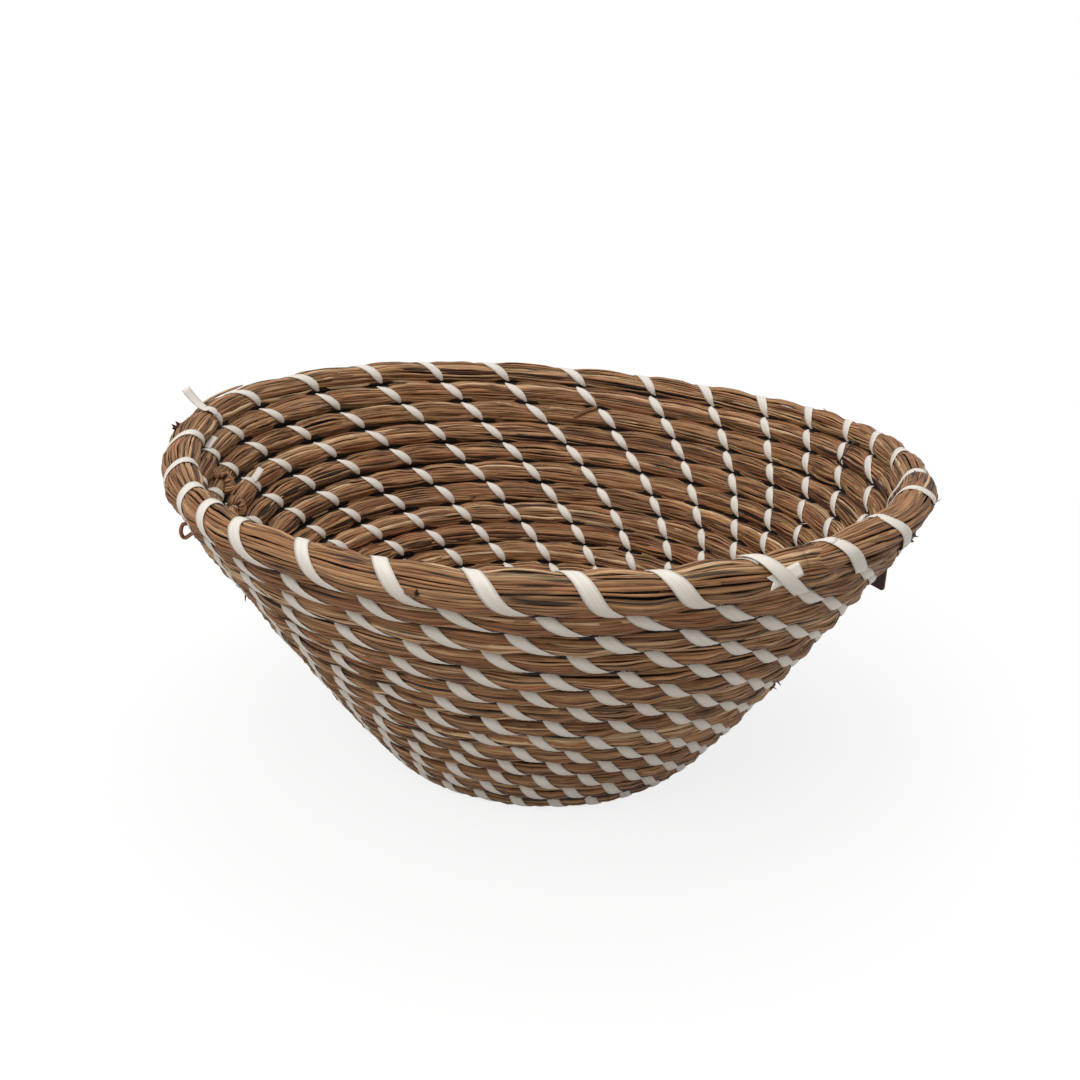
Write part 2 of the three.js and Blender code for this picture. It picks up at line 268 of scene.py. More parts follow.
def evenCurve(angles, values):
    # Monotone smooth curve through a few places
    angles, values = np.radians(np.array(angles, dtype=float)), np.array(values, dtype=float)
    slopes = np.diff(values) / np.diff(angles)
    tangents = np.concatenate([[slopes[0]], 2 / (1 / slopes[1:] + 1 / slopes[:-1]), [slopes[-1]]])

    def curve(theta):
        place = np.clip(np.searchsorted(angles, theta, side="right") - 1, 0, len(slopes) - 1)
        span = angles[place + 1] - angles[place]
        t = (theta - angles[place]) / span
        return (values[place] * (1 + 2 * t) * (1 - t) ** 2 + values[place + 1] * t ** 2 * (3 - 2 * t)
                + span * (tangents[place] * t * (1 - t) ** 2 - tangents[place + 1] * t ** 2 * (1 - t)))

    return curve


wallCurve = evenCurve(lashing["angles"], lashing["wallProgress"])
rimCurve = evenCurve(lashing["angles"], lashing["rimProgress"])
progressStep = math.radians(3)


def progressAt(turn, theta):
    # The share of the pitch that a stitch has gone along the coil, at an angle round the bundle from its top
    return np.where(turn < 1, rimCurve(theta), wallCurve(theta))


def stitchDistance(turn, theta):
    theta = np.mod(theta, 2 * np.pi)
    number = np.interp(turn, stitchTurns, stitchNumbers) - progressAt(turn, theta)
    number += np.minimum(turn - stitchTurns[0], 0) / (stitchTurns[1] - stitchTurns[0])
    nearest = np.clip(np.round(number), 0, len(stitchTurns) - 2).astype(int)
    pitch = (stitchTurns[nearest + 1] - stitchTurns[nearest]) * 2 * np.pi * middleAt(turn)[0]
    ahead = progressAt(turn, np.minimum(theta + progressStep, 2 * np.pi))
    behind = progressAt(turn, np.maximum(theta - progressStep, 0))
    slope = (ahead - behind) / (2 * progressStep) * pitch / bundle["halfThrough"]
    return np.abs(number - nearest) * pitch / np.sqrt(1 + slope ** 2)


# The bundle of stalks and how the lashing pinches it
bundle = {
    "halfAlong": 5.45 * mm,
    "halfThrough": 6.1 * mm,
    "squareness": 2.4,
    "pinchFace": 0.3 * mm,
    "pinchGap": 0.15 * mm,
    "pinchRimTop": 0.3 * mm,
    "pinchFlat": 2.7 * mm,
    "pinchReach": 3.8 * mm,
    "bulge": 0.3 * mm,
    "rimSwell": 0.07,
    "rimRise": 2.7 * mm,
    "riseToward": 278,
    "rimFrom": (0.4, 0.6),
    "rimTo": (1.02, 1.14),
}


def bundlePoint(turn, theta, lift):
    # A point at an angle round the bundle, and the way out of the bundle there
    centre, alongWall, throughWall, forward = coilFrame(turn)
    rimShare = risingShare(turn, bundle["rimFrom"]) * (1 - risingShare(turn, bundle["rimTo"]))
    swell = stray["swellShare"] * strayRadius(lengthAt(turn))
    size = sizeAt(turn) * (1 + swell + bundle["rimSwell"] * rimShare)
    power = bundle["squareness"]
    cosine, sine = np.cos(theta), np.sin(theta)
    reach = (np.abs(cosine) ** power + np.abs(sine) ** power) ** (-1 / power)
    front = np.maximum(np.cos(np.radians(azimuthAt(turn) - bundle["riseToward"])), 0)
    riseTop = bundle["rimRise"] * rimShare * front * np.where(turn < 1.02, np.maximum(cosine, 0), 0)
    hollowFrom, hollowTo = drawnUp["hollowTurns"]
    hollow = np.sin(np.pi * np.clip((np.mod(turn, 1) - hollowFrom) / (hollowTo - hollowFrom), 0, 1))
    facing = np.where(turn < 0.5, np.maximum(-cosine, 0), np.maximum(cosine, 0))
    facing = facing * (turn < 1.5) * np.maximum(sine, 0)
    along = (bundle["halfAlong"] * size * reach + riseTop + lift) * cosine
    along -= np.sign(cosine) * hollow * drawnUp["hollowDepth"] * np.sqrt(facing)
    through = (bundle["halfThrough"] * size * reach + lift) * sine
    point = centre + alongWall * along[..., None] + throughWall * through[..., None]
    normal = unit(alongWall * (cosine / bundle["halfAlong"])[..., None]
                  + throughWall * (sine / bundle["halfThrough"])[..., None])
    return point, normal, forward


def pinchDepth(turn, theta):
    atGap = np.where((np.cos(theta) > 0) & (turn < 1), bundle["pinchRimTop"], bundle["pinchGap"])
    return bundle["pinchFace"] + (atGap - bundle["pinchFace"]) * np.abs(np.cos(theta)) ** 1.5


def pinchAt(turn, theta):
    # One under the ribbon, and falling to nothing between stitches
    beside = np.maximum(stitchDistance(turn, theta) - bundle["pinchFlat"], 0)
    return np.exp(-(beside / bundle["pinchReach"]) ** 2)


def tubeFaces(rings, sides):
    # Quads between rings, and a cap on each end
    ring = np.arange(rings - 1)[:, None] * sides
    side = np.arange(sides)[None, :]
    following = (side + 1) % sides
    corners = [ring + side, ring + following, ring + sides + following, ring + sides + side]
    quads = np.stack(corners, -1).reshape(-1, 4)
    caps = [list(range(sides))[::-1], [(rings - 1) * sides + i for i in range(sides)]]
    return quads, caps


def makeMesh(name, points, faces, attributes):
    mesh = bpy.data.meshes.new(name)
    corners = np.concatenate([np.asarray(f, dtype=np.int32) for f in faces])
    sizes = np.array([len(f) for f in faces], dtype=np.int32)
    starts = np.concatenate([[0], np.cumsum(sizes)[:-1]]).astype(np.int32)
    mesh.vertices.add(len(points))
    mesh.vertices.foreach_set("co", np.asarray(points, dtype=np.float32).ravel())
    mesh.loops.add(len(corners))
    mesh.loops.foreach_set("vertex_index", corners)
    mesh.polygons.add(len(sizes))
    mesh.polygons.foreach_set("loop_start", starts)
    mesh.polygons.foreach_set("loop_total", sizes)
    mesh.polygons.foreach_set("use_smooth", np.ones(len(sizes), dtype=bool))
    for attributeName, values in attributes.items():
        attribute = mesh.attributes.new(attributeName, "FLOAT_VECTOR", "POINT")
        attribute.data.foreach_set("vector", np.asarray(values, dtype=np.float32).ravel())
    mesh.update(calc_edges=True)
    mesh.validate()
    piece = bpy.data.objects.new(name, mesh)
    bpy.context.scene.collection.objects.link(piece)
    return piece


class PieceBuilder:
    # Gathers tubes into one mesh, with two vector attributes a vertex
    def __init__(self):
        self.points, self.faces, self.grain, self.tone, self.count = [], [], [], [], 0

    def addTube(self, rings, grain, tone):
        ringCount, sides = rings.shape[:2]
        quads, caps = tubeFaces(ringCount, sides)
        self.points.append(rings.reshape(-1, 3))
        self.faces.extend((quads + self.count).tolist())
        self.faces.extend([[i + self.count for i in cap] for cap in caps])
        self.grain.append(grain.reshape(-1, 3))
        self.tone.append(np.broadcast_to(tone, (ringCount * sides, 3)))
        self.count += ringCount * sides

    def finish(self, name, material, body, slotName):
        piece = makeMesh(name, np.concatenate(self.points), self.faces,
                         {"grain": np.concatenate(self.grain), "tone": np.concatenate(self.tone)})
        piece.data.materials.append(material)
        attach(piece, body)
        return piece


# Materials

def hexColour(code):
    values = [int(code[i:i + 2], 16) / 255 for i in (1, 3, 5)]
    return tuple(v / 12.92 if v <= 0.04045 else ((v + 0.055) / 1.055) ** 2.4 for v in values) + (1,)


def addNode(tree, kind, settings=None, links=None):
    node = tree.nodes.new(kind)
    for key, value in (settings or {}).items():
        if key in node.inputs:
            node.inputs[key].default_value = value
        else:
            setattr(node, key, value)
    for key, source in (links or {}).items():
        tree.links.new(source, node.inputs[key])
    return node


def newMaterial(name):
    material = bpy.data.materials.new(name)
    material.use_nodes = True
    tree = material.node_tree
    shader = next(n for n in tree.nodes if n.type == "BSDF_PRINCIPLED")
    return material, tree, shader


def setRamp(node, stops):
    ramp = node.color_ramp
    while len(ramp.elements) < len(stops):
        ramp.elements.new(0.5)
    for element, (place, code) in zip(ramp.elements, stops):
        element.position = place
        element.color = hexColour(code)


def addRange(tree, source, fromMin, fromMax, toMin, toMax):
    # A value mapped from one range to another and held inside it
    settings = {"From Min": fromMin, "From Max": fromMax, "To Min": toMin, "To Max": toMax}
    return addNode(tree, "ShaderNodeMapRange", settings, {"Value": source}).outputs["Result"]


def addMath(tree, operation, first, second, clamped=False):
    node = addNode(tree, "ShaderNodeMath", {"operation": operation, "use_clamp": clamped})
    tree.links.new(first, node.inputs[0])
    tree.links.new(second, node.inputs[1])
    return node.outputs["Value"]


def addLongNoise(tree, grain, size, place, settings):
    # Noise drawn out along the grain, by its length and width
    scale = (1 / size[0], 1 / size[1], 1)
    mapping = addNode(tree, "ShaderNodeMapping", {"Scale": scale, "Location": place},
                      {"Vector": grain.outputs["Vector"]})
    noise = addNode(tree, "ShaderNodeTexNoise", {"Scale": 1, **settings},
                    {"Vector": mapping.outputs["Vector"]})
    return noise.outputs["Fac"]


def addMix(tree, share, base, code):
    # A colour laid over another by a share
    mix = addNode(tree, "ShaderNodeMix", {"data_type": "RGBA"}, {"Factor": share})
    tree.links.new(base, mix.inputs[6])
    mix.inputs[7].default_value = hexColour(code)
    return mix.outputs[2]


def addBump(tree, shader, strength, distance, height):
    bump = addNode(tree, "ShaderNodeBump", {"Strength": strength, "Distance": distance}, {"Height": height})
    tree.links.new(bump.outputs["Normal"], shader.inputs["Normal"])


grassLook = {
    # The darkest stop is painted shade where the core and the cut stalk's end take it, and the darkest
    # stalks' own tone elsewhere
    "tones": [(0, "#180b04"), (0.08, "#4e2b14"), (0.25, "#79502f"), (0.45, "#976844"),
              (0.7, "#ab7d54"), (0.9, "#c1976e"), (1, "#d4b28a")],
    "olive": "#8a7148",
    "russet": "#955635",
    "stain": "#2f1d14",
    "fibres": ((17 * mm, 0.3 * mm), (0, 0, 0), {"Detail": 3, "Roughness": 0.6}),
    "blotches": ((45 * mm, 6 * mm), (0, 0, 7), {"Detail": 4, "Roughness": 0.65}),
    # Painted shade: long thin dark lines along the grain, for the shade between strands
    "paintedShadeLines": ((30 * mm, 0.75 * mm), (3, 0, 2), {"Detail": 2, "Roughness": 0.5, "Distortion": 0.4}),
    "roughness": 0.62,
    "specular": 0.35,
}


def makeGrassMaterial():
    # Air-dried, unvarnished grass stalks: each its own tone, with fine fibres along it and a waxy skin. Long
    # dark lines along the grain are painted shade for the gaps between strands
    look = grassLook
    material, tree, shader = newMaterial("dried_grass_stalks")
    tone = addNode(tree, "ShaderNodeAttribute", {"attribute_name": "tone"})
    parts = addNode(tree, "ShaderNodeSeparateXYZ", links={"Vector": tone.outputs["Vector"]})
    grain = addNode(tree, "ShaderNodeAttribute", {"attribute_name": "grain"})
    fibres = addLongNoise(tree, grain, *look["fibres"])
    blotches = addLongNoise(tree, grain, *look["blotches"])
    shifted = addMath(tree, "ADD", parts.outputs["X"], addRange(tree, blotches, 0.3, 0.7, -0.2, 0.2), True)
    ramp = addNode(tree, "ShaderNodeValToRGB", links={"Fac": shifted})
    setRamp(ramp, look["tones"])
    oliveShare = addRange(tree, parts.outputs["Y"], 0.6, 1, 0, 0.35)
    olive = addMix(tree, oliveShare, ramp.outputs["Color"], look["olive"])
    russetShare = addRange(tree, parts.outputs["Y"], 0.3, 0, 0, 0.45)
    russet = addMix(tree, russetShare, olive, look["russet"])
    fibreLight = addRange(tree, fibres, 0.34, 0.66, 0.45, 1.35)
    # Painted shade: these dark lines darken the colour down to a tenth, standing in for the shade in the gaps
    # between strands
    paintedShadeLines = addLongNoise(tree, grain, *look["paintedShadeLines"])
    light = addMath(tree, "MULTIPLY", fibreLight, addRange(tree, paintedShadeLines, 0.37, 0.44, 0.1, 1))
    shaded = addNode(tree, "ShaderNodeVectorMath", {"operation": "SCALE"}, {"Vector": russet, "Scale": light})
    stainShare = addRange(tree, blotches, 0.64, 0.74, 0, 0.75)
    stained = addMix(tree, stainShare, shaded.outputs["Vector"], look["stain"])
    tree.links.new(stained, shader.inputs["Base Color"])
    addBump(tree, shader, 0.7, 0.25 * mm, fibres)
    shader.inputs["Roughness"].default_value = look["roughness"]
    shader.inputs["Specular IOR Level"].default_value = look["specular"]
    return material


ribbonLook = {
    "pale": "#dcd5cb",
    "shade": "#d3cabf",
    "lines": ((20 * mm, 0.5 * mm), (0, 0, 0), {"Detail": 2}),
    "roughness": 0.5,
}


def makeRibbonMaterial():
    # Extruded polypropylene raffia: off-white and a little satin, with drawn lines along it
    material, tree, shader = newMaterial("polypropylene_raffia")
    grain = addNode(tree, "ShaderNodeAttribute", {"attribute_name": "grain"})
    lines = addLongNoise(tree, grain, *ribbonLook["lines"])
    ramp = addNode(tree, "ShaderNodeValToRGB", links={"Fac": lines})
    setRamp(ramp, [(0.3, ribbonLook["shade"]), (0.65, ribbonLook["pale"])])
    tree.links.new(ramp.outputs["Color"], shader.inputs["Base Color"])
    addBump(tree, shader, 0.08, 0.1 * mm, lines)
    shader.inputs["Roughness"].default_value = ribbonLook["roughness"]
    return material


grassMaterial = makeGrassMaterial()
ribbonMaterial = makeRibbonMaterial()
print("materials made")

# A piece's tone is how pale it is, how olive or russet, and where its fibres are taken from
plainTone = np.array([0.5, 0.5, 0.5])
# Painted shade: a tone below the ramp's start, for the dark core and the cut stalk's open end
paintedShadeTone = np.array([-0.3, 0.5, 0.5])

# Stalks of the bundle
stalks = {
    "slots": 34,
    "radius": (0.4 * mm, 0.85 * mm),
    "flatShare": 0.75,
    "wideShare": 1.3,
    "cornerShares": (0.75, 1.2),
    "lengths": (0.12, 0.6),
    "overlap": 10 * mm,
    "dive": 1.4 * mm,
    "diveLength": 14 * mm,
    "step": 2.8 * mm,
    "sides": 5,
    "wander": 0.75,
    "rise": 0.28 * mm,
    "bury": 0.1 * mm,
    "press": 0.3 * mm,
    "rollDegrees": 25,
    "twistLength": 1.4,
    "coreAlong": 0.85 * mm,
    "coreThrough": -2.7 * mm,
    "corePinch": 0.3,
    "coreSides": 12,
}


def makeSlots():
    slots = []
    for slot in range(stalks["slots"]):
        rng = np.random.default_rng(100 + slot)
        start = -rng.uniform(0, stalks["lengths"][1])
        pieces = []
        while start < lengthTable[-1]:
            end = start + rng.uniform(*stalks["lengths"])
            seed = int(rng.integers(1 << 30))
            pieces.append({
                "start": start,
                "end": end + stalks["overlap"],
                "radius": rng.uniform(*stalks["radius"]),
                "girth": waveSum(seed, [0.061, 0.029, 0.013]),
                "roll": waveSum(seed + 1, [0.13, 0.057]),
                "corners": rng.uniform(*stalks["cornerShares"], stalks["sides"]),
                "tone": np.array([np.clip(rng.normal(0.54, 0.27), 0.1, 1), rng.uniform(0, 1),
                                  rng.uniform(0, 1)]),
                "blunt": rng.uniform() < 0.35,
                "lift": rng.normal(0, 0.2) * mm,
            })
            start = end
        slots.append({
            "share": slot / stalks["slots"],
            "wander": waveSum(200 + slot, [0.31, 0.17, 0.09]),
            "rise": waveSum(300 + slot, [0.11, 0.047, 0.023, 0.015]),
            "pieces": pieces,
        })
    return slots


def addStalk(builder, slot, stalk, firstTurn, lastTurn):
    begin = max(stalk["start"], lengthAt(firstTurn))
    finish = min(stalk["end"], lengthAt(lastTurn))
    if finish - begin < stalks["step"]:
        return
    count = max(3, int(math.ceil((finish - begin) / stalks["step"])) + 1)
    length = np.linspace(begin, finish, count)
    turn = turnAtLength(length)
    theta = 2 * np.pi * (slot["share"] + stalks["wander"] / stalks["slots"] * slot["wander"](length)
                         + length / stalks["twistLength"])
    radius = stalk["radius"] * (1 + 0.25 * stalk["girth"](length)) * np.sqrt(sizeAt(turn))
    pinch = pinchAt(turn, theta)
    rise = (stalk["lift"] + stalks["rise"] * slot["rise"](length)) * (1 - pinch)
    rise = rise - stalks["bury"] - stalks["press"] * pinch
    diveIn = 1 - smooth((length - stalk["start"]) / stalks["diveLength"])
    diveOut = 1 - smooth((stalk["end"] - length) / stalks["diveLength"])
    dive = stalks["dive"] * (diveIn + (0.1 if stalk["blunt"] else 1) * diveOut)
    lift = rise - dive + bundle["bulge"] * (1 - pinch) - pinchDepth(turn, theta) * pinch
    lift = lift - radius * stalks["flatShare"]
    centre, normal, forward = bundlePoint(turn, theta, lift)
    side = unit(np.cross(forward, normal))
    angle = np.linspace(0, 2 * np.pi, stalks["sides"], endpoint=False) + np.pi
    roll = np.radians(stalks["rollDegrees"]) * stalk["roll"](length)
    flat = (radius * stalks["flatShare"])[:, None] * (np.cos(angle) * stalk["corners"])[None, :]
    wide = (radius * stalks["wideShare"])[:, None] * (np.sin(angle) * stalk["corners"])[None, :]
    out = flat * np.cos(roll)[:, None] + wide * np.sin(roll)[:, None]
    across = wide * np.cos(roll)[:, None] - flat * np.sin(roll)[:, None]
    rings = centre[:, None, :] + out[..., None] * normal[:, None, :] + across[..., None] * side[:, None, :]
    grain = columns(length[:, None], (angle * stalk["radius"])[None, :], stalk["tone"][2] * 40)
    builder.addTube(rings, grain, stalk["tone"])


def addCore(builder, firstTurn, lastTurn):
    # The bundle's dark inner filler, wide enough along the wall to close the gap between rows; its near-black
    # colour is painted shade for the deep gaps between stalks and rows
    begin, finish = lengthAt(firstTurn), lengthAt(lastTurn)
    count = int((finish - begin) / (2 * stalks["step"])) + 2
    turn = turnAtLength(np.linspace(begin, finish, count))
    theta = np.linspace(0, 2 * np.pi, stalks["coreSides"], endpoint=False)
    spread = np.broadcast_to(turn[:, None], (len(turn), len(theta)))
    angles = np.broadcast_to(theta[None, :], spread.shape)
    size = sizeAt(spread)
    inRow = smooth((spread - 0.97) / 0.06)
    bothWays = np.cos(angles) * np.where(np.cos(angles) > 0, inRow, 1)
    lift = stalks["coreThrough"] + (stalks["coreAlong"] - stalks["coreThrough"]) * bothWays ** 2
    pinched = pinchDepth(spread, angles) * pinchAt(spread, angles)
    rings, _, _ = bundlePoint(spread, angles, lift * size - stalks["corePinch"] * pinched)
    grain = columns(lengthAt(spread), angles * 5 * mm, 0)
    builder.addTube(rings, grain, paintedShadeTone)


def makeGrassRows():
    slots = makeSlots()
    rows = []
    turnCount = int(coil["lastTurn"])
    for row in range(turnCount):
        first = float(row) if row else coil["endSizes"][0][0]
        last = float(row + 1) if row < turnCount - 1 else coil["lastTurn"]
        builder = PieceBuilder()
        addCore(builder, first, last)
        for slot in slots:
            for stalk in slot["pieces"]:
                addStalk(builder, slot, stalk, first, last)
        piece = builder.finish(f"grass_row_{turnCount - row:02d}", grassMaterial, "bowl", "grass")
        rows.append(piece)
    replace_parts(rows[0], "grass_coil")
    return rows


grassRows = makeGrassRows()
print("grass rows made", sum(len(r.data.polygons) for r in grassRows))


def gapWidthShare(theta, openTop):
    # The ribbon is folded narrow in the gaps between rows, and is a pointed leaf on the inside
    outsideNarrow, insideNarrow = lashing["outsideGapWidthShare"], lashing["insideGapWidthShare"]
    outside = 1 - (1 - outsideNarrow) * risingShare(theta, np.radians(lashing["outsideTaper"]))
    start = math.radians(lashing["outsideStart"])
    started = smooth(theta / start + lashing["startOpen"])
    outside = np.where(openTop, outside, outside * (insideNarrow + (1 - insideNarrow) * started))
    opened = (np.interp(np.degrees(theta), *lashing["leafOpening"]) - insideNarrow) / (1 - insideNarrow)
    closed = opened * (1 - risingShare(theta, np.radians(lashing["leafTaper"])))
    turningOut = smooth((theta - 2 * np.pi) / start + lashing["startOpen"])
    inside = insideNarrow + (1 - insideNarrow) * np.where(openTop, opened, np.maximum(closed, turningOut))
    return np.where(theta < np.pi, outside, inside)


# Corners of the ribbon's section across its width, first on its face and then back along its underside
ribbonAcross = np.array([-1, -0.55, 0, 0.55, 1, 0.92, 0, -0.92])


def ribbonRings(turn, theta, widthShare, thickness, openTop):
    # Sections of a flat ribbon that lies on the bundle along a path of turns and angles
    radius = middleAt(turn)[0]
    girth = (bundle["halfAlong"] + bundle["halfThrough"]) / 2
    forwardStep = np.gradient(turn) * 2 * np.pi * radius
    roundStep = np.gradient(theta) * girth
    size = np.hypot(forwardStep, roundStep)
    lifts = np.array([-0.7, -0.15, 0, -0.15, -0.7, -1.3, -1.1, -1.3])
    upWall = np.clip(turn / coil["wallTurns"], 0, 1)
    half = (lashing["width"] + (lashing["footWidth"] - lashing["width"]) * upWall) / 2 * widthShare
    turnOffset = (-roundStep / size * half / (2 * np.pi * radius))[:, None] * ribbonAcross[None, :]
    thetaOffset = (forwardStep / size * half / girth)[:, None] * ribbonAcross[None, :]
    fromGap = np.mod(theta, 2 * np.pi)
    folded = (fromGap < np.pi) & ~openTop
    thetaOffset = np.where(folded[:, None], np.maximum(thetaOffset, 0.06 - fromGap[:, None]), thetaOffset)
    spread, angles = turn[:, None] + turnOffset, theta[:, None] + thetaOffset
    lift = lashing["lift"] - pinchDepth(turn[:, None], angles) + thickness[:, None] * lifts[None, :]
    rings, _, _ = bundlePoint(spread, angles, lift)
    travelled = np.concatenate([[0], np.cumsum(size[1:])])
    grain = columns(travelled[:, None], half[:, None] * ribbonAcross[None, :], 0)
    return rings, grain


def addStrip(builder, path, normals, halfWidths, thickness):
    # A flat ribbon along a path of points, each with the way its face looks
    tangent = unit(np.gradient(path, axis=0))
    side = unit(np.cross(normals, tangent))
    lifts = np.array([-0.1, 0.35, 0.5, 0.35, -0.1, -0.6, -0.5, -0.6]) * thickness
    across = halfWidths[:, None] * ribbonAcross[None, :]
    rings = (path[:, None, :] + side[:, None, :] * across[..., None]
             + normals[:, None, :] * lifts[None, :, None])
    grain = columns(travelledAlong(path)[:, None], across, 3)
    builder.addTube(rings, grain, plainTone)


def hullOf(points):
    # Convex outline of points in a plane, clockwise
    ordered = sorted(map(tuple, points))
    halves = []
    for sequence in (ordered, ordered[::-1]):
        chain = []
        for p in sequence:
            while len(chain) > 1 and ((chain[-1][0] - chain[-2][0]) * (p[1] - chain[-2][1])
                                      - (chain[-1][1] - chain[-2][1]) * (p[0] - chain[-2][0])) >= 0:
                chain.pop()
            chain.append(p)
        halves.append(chain[:-1])
    return np.array(halves[0] + halves[1])


# Near the thin end of the coil the stitches go round it and the row beneath together
common = {
    "lift": 0.55 * mm,
    "leadIn": 0.16,
    "steps": 44,
    "progress": ([0, 0.12, 0.4, 0.5, 0.75, 1], [0, 0.16, 0.66, 0.75, 0.85, 1]),
    "widths": ([0, 0.08, 0.4, 0.5, 0.6, 0.75, 0.9, 1], [1, 1, 1, 0.5, 0.25, 1, 1, 1]),
}


def commonPoint(turn, share):
    # A point part of the way round both bundles, from the top over the outside, and the way out there
    theta = np.linspace(0, 2 * np.pi, 40, endpoint=False)
    axis = np.array([*coil["axis"], 0])
    section = []
    for bundleTurn in (turn - 1, turn):
        points, _, _ = bundlePoint(np.full(len(theta), bundleTurn), theta, common["lift"])
        away = points - axis
        section.append(np.stack([np.hypot(away[:, 0], away[:, 1]), away[:, 2]], -1))
    section = np.concatenate(section)
    outline = hullOf(section)
    lean = float(leanAt(coil["wallTurns"] - turn))
    first = int(np.argmax(outline @ np.array([math.cos(lean), math.sin(lean)])))
    outline = np.roll(outline, -first, axis=0)
    closed = np.concatenate([outline, outline[:1]])
    travelled = travelledAlong(closed)
    place = share * travelled[-1]
    radius, height = np.interp(place, travelled, closed[:, 0]), np.interp(place, travelled, closed[:, 1])
    near = 1.2 * mm
    ahead = [np.interp((place + near) % travelled[-1], travelled, closed[:, i]) for i in (0, 1)]
    behind = [np.interp((place - near) % travelled[-1], travelled, closed[:, i]) for i in (0, 1)]
    outward, upward = behind[1] - ahead[1], ahead[0] - behind[0]
    if share > 0.5:
        # Inside, the ribbon follows the groove between the two rows
        hollow = max(np.min(np.hypot(section[:, 0] - radius, section[:, 1] - height)) - 0.4 * mm, 0)
        radius -= hollow * outward / math.hypot(outward, upward)
        height -= hollow * upward / math.hypot(outward, upward)
    azimuth = math.radians(azimuthAt(turn))
    point = axis + np.array([radius * math.cos(azimuth), radius * math.sin(azimuth), height])
    return point, np.array([outward * math.cos(azimuth), outward * math.sin(azimuth), upward])


def addCommonStitches(builder, numbers):
    path, normals, halfWidths = [], [], []
    for number in numbers:
        begin = 0 if path else -common["leadIn"]
        for share in np.linspace(begin, 1, common["steps"], endpoint=False):
            progress = np.interp(share, *common["progress"]) + min(share, 0)
            turn = stitchTurns[number] + progress * (stitchTurns[number + 1] - stitchTurns[number])
            point, normal = commonPoint(turn, share % 1)
            path.append(point)
            normals.append(normal)
            halfWidths.append(lashing["width"] / 2 * np.interp(share % 1, *common["widths"]))
    path, normals = np.array(path), unit(np.array(normals))
    for _ in range(2):
        path[1:-1] = (path[:-2] + 2 * path[1:-1] + path[2:]) / 4
        normals[1:-1] = unit(normals[:-2] + 2 * normals[1:-1] + normals[2:])
    addStrip(builder, path, normals, np.array(halfWidths), lashing["thickness"])


def makeRibbonRow(row, name):
    numbers = [n for n in range(len(stitchTurns) - 1) if row <= stitchTurns[n] < row + 1]
    builder = PieceBuilder()
    if row == 0:
        addCommonStitches(builder, numbers[-1:])
        numbers = numbers[:-1]
    if row == 1:
        addCommonStitches(builder, numbers[:3])
        numbers = numbers[3:]
    ended = (lashing["endedStitch"] - coil["endAzimuth"]) / 360
    if row == 0:
        # The ribbon ends in a loose tail over the rim here, and a new length starts on the outside
        earlier = [n for n in numbers if stitchTurns[n] < ended - 0.01]
        addRibbonLength(builder, earlier, 0, 0.8)
        addRibbonLength(builder, numbers[len(earlier):], 0.43, 1)
    else:
        addRibbonLength(builder, numbers, 0, 1)
    return builder.finish(name, ribbonMaterial, "bowl", "ribbon")


def addRibbonLength(builder, numbers, firstShare, lastShare):
    # One length of ribbon that winds on through the numbered stitches
    turns, thetas = [], []
    for number in numbers:
        share = np.linspace(0, 1, lashing["stepsPerStitch"], endpoint=False)
        if number == numbers[0]:
            share = share[share >= firstShare]
        if number == numbers[-1]:
            share = share[share <= lastShare]
        theta = 2 * np.pi * share
        pitch = stitchTurns[number + 1] - stitchTurns[number]
        progress = progressAt(np.full(len(theta), stitchTurns[number]), theta)
        turns.append(stitchTurns[number] + progress * pitch)
        thetas.append(theta + 2 * np.pi * (number - numbers[0]))
    turn = np.concatenate(turns)
    theta = np.concatenate(thetas)
    openTop = turn < 1 - 1e-9
    widthShare = gapWidthShare(np.mod(theta, 2 * np.pi), openTop)
    thickness = lashing["thickness"] * (1 + 0.6 * (1 - widthShare))
    rings, grain = ribbonRings(turn, theta, widthShare, thickness, openTop)
    builder.addTube(rings, grain, plainTone)


def makeRibbons():
    lashedRows = 13
    for row in range(int(coil["lastTurn"])):
        if row < lashedRows:
            node = f"ribbon_row_{lashedRows - row:02d}"
            piece = makeRibbonRow(row, f"wall_ribbon_{lashedRows - row:02d}")
            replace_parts(piece, node)
        else:
            makeRibbonRow(row, f"base_ribbon_{row - lashedRows + 1:02d}")


makeRibbons()
print("ribbons made")


def surfaceLine(stops, lift, count):
    # Points on the bundle between stops of a turn and an angle, with the way out of the surface at each
    stops = np.array(stops, dtype=float)
    place = np.linspace(0, len(stops) - 1, count)
    turn = np.interp(place, range(len(stops)), stops[:, 0])
    theta = np.radians(np.interp(place, range(len(stops)), stops[:, 1]))
    path, normals, _ = bundlePoint(turn, theta, np.broadcast_to(lift, turn.shape))
    return path, normals


def smoothLine(points, count):
    # A smooth curve through points, by Catmull and Rom's rule
    points = np.array(points, dtype=float)
    padded = np.concatenate([[2 * points[0] - points[1]], points, [2 * points[-1] - points[-2]]])
    place = np.linspace(0, len(points) - 1 - 1e-9, count)
    first = place.astype(int)
    t = (place - first)[:, None]
    a, b, c, d = padded[first], padded[first + 1], padded[first + 2], padded[first + 3]
    return 0.5 * (2 * b + (c - a) * t + (2 * a - 5 * b + 4 * c - d) * t ** 2
                  + (3 * b - a - 3 * c + d) * t ** 3)


